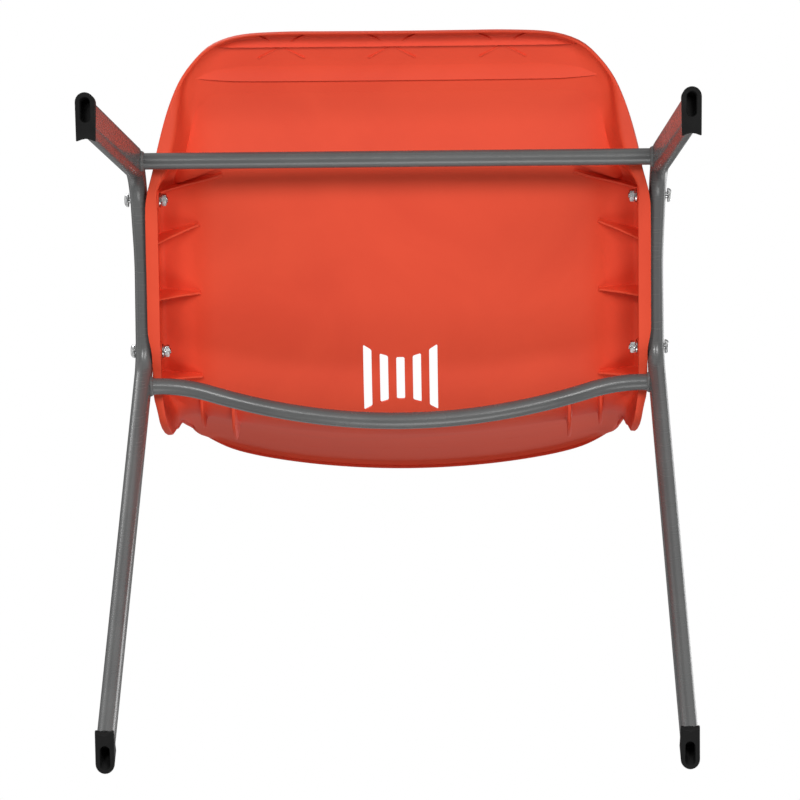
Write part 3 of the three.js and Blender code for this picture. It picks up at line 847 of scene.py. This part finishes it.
shell = finish_piece(shell_bm, "moulded_shell", orange_plastic)
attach(shell, "root")
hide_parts("seat_back_shell")

# %% [markdown]
# ## Side frames
#
# Each side frame is one length of round tube that the mill has flattened to an
# oval, bent twice: front leg, rail, rear leg. The path is drawn as straight
# runs with arcs between them and the oval is swept along it, with its narrow
# side kept across the chair. A second, smaller oval swept back inside gives the
# tube its wall.

# %% The frame's path
LEGS = {
    "front": (Vector((251.5, -281.5, 0)), Vector((236.2, -127, 426)), -1),
    "rear": (Vector((250.8, 281.5, 0)), Vector((233, 58, 412)), 1),
}
RAIL_BOW = Vector((232.2, -40, 419.4))
PAD_LONG = 40


def leg_up(leg):
    foot, top, outward = leg
    return (top - foot).normalized()


def pad_shoulder(leg):
    foot, top, outward = leg
    inner_edge = Vector((foot.x, foot.y - outward * PAD_LONG / 2, 3.2))
    return (inner_edge - foot).dot(leg_up(leg))


def tube_end(leg):
    return leg[0] + leg_up(leg) * (pad_shoulder(leg) + 0.3)


def bent_line(corners, radii, steps):
    out = [corners[0]]
    for i in range(1, len(corners) - 1):
        into = (corners[i] - corners[i - 1]).normalized()
        away = (corners[i + 1] - corners[i]).normalized()
        turn = into.angle(away)
        centre = corners[i] + (away - into).normalized() * radii[i - 1] / math.cos(turn / 2)
        start = corners[i] - into * radii[i - 1] * math.tan(turn / 2) - centre
        axis = into.cross(away).normalized()
        for k in range(steps[i - 1] + 1):
            out.append(Matrix.Rotation(turn * k / steps[i - 1], 3, axis) @ start + centre)
    out.append(corners[-1])
    return out


def oval(wide, deep, steps=10):
    radius = wide / 2
    flank = deep / 2 - radius
    ring = []
    for end in (1, -1):
        for i in range(steps + 1):
            a = math.pi * i / steps + (0 if end > 0 else math.pi)
            ring.append((radius * math.cos(a), end * flank + radius * math.sin(a)))
    return ring


def spread_along(points, gap):
    out = []
    for a, b in zip(points, points[1:]):
        parts = max(1, round((b - a).length / gap))
        out += [a.lerp(b, k / parts) for k in range(parts)]
    return out + [points[-1]]


def swept_loops(points, section, side_hint=Vector((1, 0, 0))):
    loops = []
    for i, here in enumerate(points):
        along = (points[min(i + 1, len(points) - 1)] - points[max(i - 1, 0)]).normalized()
        side = (side_hint - along * side_hint.dot(along)).normalized()
        deep = along.cross(side)
        loops.append([(here + side * u + deep * v) * MM for u, v in section])
    return loops


def make_tube(name, points, outer, inner, hint=Vector((1, 0, 0))):
    bm = bmesh.new()
    outside = swept_loops(points, outer, hint)
    inside = swept_loops(points, inner, hint)
    skin_loops(bm, outside + inside[::-1] + outside[:1])
    piece = finish_piece(bm, name, grey_coat)
    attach(piece, "root")
    return piece


# %% Both side frames
def side_path(side):
    corners = [tube_end(LEGS["front"]), LEGS["front"][1], RAIL_BOW, LEGS["rear"][1],
               tube_end(LEGS["rear"])]
    path = spread_along(bent_line(corners, [45, 600, 45], [22, 8, 20]), 14)
    return [Vector((side * p.x, p.y, p.z)) for p in path]


for name, side in (("right", 1), ("left", -1)):
    frame_tube = make_tube(name + "_side_frame", side_path(side), oval(15, 30), oval(12, 27))
    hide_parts(name + "_side_tube")

# %% [markdown]
# ## Crossbars and their welds
#
# The front bar is straight. The rear bar bows back and down so that the shell
# of the chair below can nest under it. Both are round tube with square-cut
# ends, so the gap to the leg is filled by a weld: a ring of overlapping
# puddles, made by spinning a small bead round the bar and then letting its
# height swell and sink along the ring.

# %% Crossbars
BAR_RADIUS = 7.5
BAR_END_GAP = 0.8


def leg_at(leg, z):
    return leg[0].lerp(leg[1], z / leg[1].z)


def circle(radius, count=40):
    return [(radius * math.cos(2 * math.pi * i / count), radius * math.sin(2 * math.pi * i / count))
            for i in range(count)]


def rear_bow(x):
    a = abs(x)
    if a < 172:
        return 1 - (a / 194) ** 2
    return 0.214 * clamp01(1 - (a - 172) / 46.8) ** 2


def bar_path(leg, z, back, down, count):
    middle = leg_at(leg, z)
    half = middle.x - 7.5 - BAR_END_GAP
    xs = [mix(-half, half, i / count) for i in range(count + 1)]
    return [Vector((x, middle.y + back * rear_bow(x), middle.z - down * rear_bow(x))) for x in xs]


bar_paths = {
    "front_crossbar": bar_path(LEGS["front"], 392, 0, 0, 24),
    "rear_crossbar": bar_path(LEGS["rear"], 388, 27.5, 23.5, 90),
}
for name, path in bar_paths.items():
    bar = make_tube(name + "_tube", path, circle(BAR_RADIUS), circle(BAR_RADIUS - 1.5),
                    Vector((0, 0, 1)))
    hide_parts(name)


# %% Weld beads
def add_weld(bm, place, side, puddles):
    bead = [(0.0, BAR_RADIUS - 0.6), (1.4, BAR_RADIUS + 0.1), (0.9, BAR_RADIUS + 0.9),
            (-0.3, BAR_RADIUS + 1.5), (-1.6, BAR_RADIUS + 1.2), (-2.2, BAR_RADIUS + 0.2),
            (-1.6, BAR_RADIUS - 0.8)]
    count = 120
    loops = []
    for i in range(count + 1):
        a = 2 * math.pi * i / count
        swell = 1 + 0.28 * abs(math.sin(a * puddles / 2)) + 0.10 * math.sin(3 * a + side)
        loops.append([(place + Vector((side * -u * swell,
                                       (BAR_RADIUS + (r - BAR_RADIUS) * swell) * math.cos(a),
                                       (BAR_RADIUS + (r - BAR_RADIUS) * swell) * math.sin(a)))) * MM
                      for u, r in bead])
    skin_loops(bm, loops)


for name, path in bar_paths.items():
    for side, end in ((1, path[-1]), (-1, path[0])):
        weld_bm = bmesh.new()
        add_weld(weld_bm, end, side, 17)
        weld = finish_piece(weld_bm, f"{name}_weld_{'right' if side > 0 else 'left'}", weld_steel, 60)
        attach(weld, "root")

# %% [markdown]
# ## Foot caps
#
# A cap is a plug that is pushed up the tube and a wedge-shaped pad that stands
# flat on the floor although the leg leans. All its outlines have the same
# number of points, so one skin can run from the bottom of the recess, over the
# sole and up the pad to the top of the plug.

# %% One cap
PAD_WIDE = 16.6
# extra length of the pad towards the chair's middle, by which way its leg leans
PAD_HEEL = {-1: 3.5, 1: 0.0}
PAD_DISH = 3.5


def cap_outline(wide, long, dish=0.0, corner=3.0, steps=14):
    radius = wide / 2
    ring = []
    for i in range(steps + 1):
        a = math.pi * i / steps
        ring.append((radius * math.cos(a), long / 2 - radius + radius * math.sin(a)))
    for i in range(1, steps):
        b = math.pi * i / steps
        if dish:
            u = -radius * math.copysign(abs(math.cos(b)) ** 0.55, math.cos(b))
            v = -long / 2 + corner - corner * math.sin(b) ** 0.45
            ring.append((u, v + dish * math.cos(math.pi * u / (2 * radius) * 0.96)))
        else:
            ring.append((-radius * math.cos(b), -long / 2 + radius - radius * math.sin(b)))
    return ring


def foot_cap(name, leg, side):
    foot, top, outward = leg
    up = leg_up(leg)
    out_axis = (Vector((0, outward, 0)) - up * outward * up.y).normalized()
    side_axis = out_axis.cross(up).normalized()
    shoulder = pad_shoulder(leg)
    tilt = math.sqrt(up.x ** 2 + up.z ** 2)
    shift = Vector((0, outward * (PAD_LONG / 2 - 15), 0))

    def loop(ring, height=None, lift=0.0, move=Vector()):
        placed = []
        for u, v in ring:
            p = foot + move + side_axis * u + out_axis * v
            rise = height if height is not None else (lift - p.z) / up.z
            q = p + up * rise
            placed.append(Vector((side * q.x, q.y, q.z)) * MM)
        return placed

    heel = PAD_HEEL[outward]
    long = (PAD_LONG + heel) * tilt
    back = Vector((0, -outward * heel / 2, 0))
    recess = cap_outline(8.2, 21.5 * tilt)
    mouth = cap_outline(9.2, 22.5 * tilt)
    pad = cap_outline(PAD_WIDE, long, PAD_DISH)
    sole = cap_outline(PAD_WIDE - 1.8, long - 1.8, PAD_DISH)
    brow = cap_outline(PAD_WIDE - 1.2, long - 1.2, PAD_DISH)
    plug = cap_outline(11.4, 26.4)
    tip = cap_outline(9.8, 24.8)
    bm = bmesh.new()
    first, last = skin_loops(bm, [
        loop(recess, height=shoulder + 6, move=shift), loop(recess, lift=0.8, move=shift),
        loop(mouth, lift=0.0, move=shift), loop(sole, lift=0.0, move=back),
        loop(pad, lift=0.9, move=back), loop(pad, height=shoulder - 0.8, move=back),
        loop(brow, height=shoulder, move=back), loop(plug, height=shoulder),
        loop(plug, height=shoulder + 22.5), loop(tip, height=shoulder + 24)])
    close_ends(bm, first, last)
    piece = finish_piece(bm, name, black_rubber, 28)
    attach(piece, "root")
    return piece


for end, leg in LEGS.items():
    for name, side in (("right", 1), ("left", -1)):
        cap = foot_cap(f"{end}_{name}_cap", leg, side)
        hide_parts(f"{end}_{name}_foot_cap")

# %% [markdown]
# ## Screws, washers and nuts
#
# An M6 screw goes through rail and skirt from outside and takes a washer and a
# hexagon nut inside. Each is a row of rings along its axis. A hexagon is a ring
# whose radius follows the flats, and its chamfer is the same ring held inside a
# circle. The thread is a ring whose radius rises and falls with the angle, so
# the crest climbs as a true helix.

# %% Rings along X
RING = 48
HEAD_SEAT = {"front": 243.9, "rear": 241.2}


def hex_radius(angle, flat, limit=99.0):
    corner = (angle + math.pi / 6) % (math.pi / 3) - math.pi / 6
    return min(flat / math.cos(corner), limit)


def ring_loop(x, radius, side, y, z):
    loop = []
    for i in range(RING):
        a = 2 * math.pi * i / RING
        r = radius(a) if callable(radius) else radius
        loop.append(Vector((side * x, y + r * math.cos(a), z + r * math.sin(a))) * MM)
    return loop


def turned_piece(name, rings, side, y, z, closed, node):
    bm = bmesh.new()
    loops = [ring_loop(x, radius, side, y, z) for x, radius in rings]
    first, last = skin_loops(bm, loops + loops[:1] if not closed else loops)
    if closed:
        close_ends(bm, first, last)
    piece = finish_piece(bm, name, zinc_plate, 30)
    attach(piece, "root")
    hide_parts(node)
    return piece


# %% The fasteners
def screw_rings(head):
    socket = lambda a: hex_radius(a, 1.75)
    rings = [(head + 1.8, socket), (head + 3.8, socket), (head + 4.0, 2.2), (head + 3.95, 3.0),
             (head + 3.6, 4.3), (head + 2.7, 5.5), (head + 1.5, 6.2), (head + 0.5, 6.4),
             (head, 6.2), (head, 3.0), (216, 3.0)]
    steps = 38
    for k in range(steps + 1):
        x = mix(215.8, 208.9, k / steps)
        rings.append((x, lambda a, x=x: 2.72 + 0.28 * math.sin(2 * math.pi * x - a)))
    return rings + [(208.4, 2.3)]


NUT_FLAT = 4.94
nut_body = lambda a: hex_radius(a, NUT_FLAT)
nut_rim = lambda a: hex_radius(a, NUT_FLAT, 5.25)
nut_rings = [(209.8, 3.4), (209.7, 3.6), (209.7, 4.9), (209.95, nut_rim), (210.25, nut_body),
             (213.95, nut_body), (214.3, nut_rim), (214.5, 4.9), (214.5, 3.6), (214.4, 3.4)]
washer_rings = [(214.8, 3.4), (214.8, 6.3), (215.0, 6.5), (216.0, 6.5), (216.2, 6.3), (216.2, 3.4)]
for end, (y, z) in SCREW_SPOTS.items():
    for name, side in (("right", 1), ("left", -1)):
        spot = f"{end}_{name}"
        turned_piece(spot + "_screw", screw_rings(HEAD_SEAT[end]), side, y, z, True,
                     spot + "_seat_screw")
        turned_piece(spot + "_washer", washer_rings, side, y, z, False, spot + "_seat_washer")
        turned_piece(spot + "_nut", nut_rings, side, y, z, False, spot + "_seat_nut")
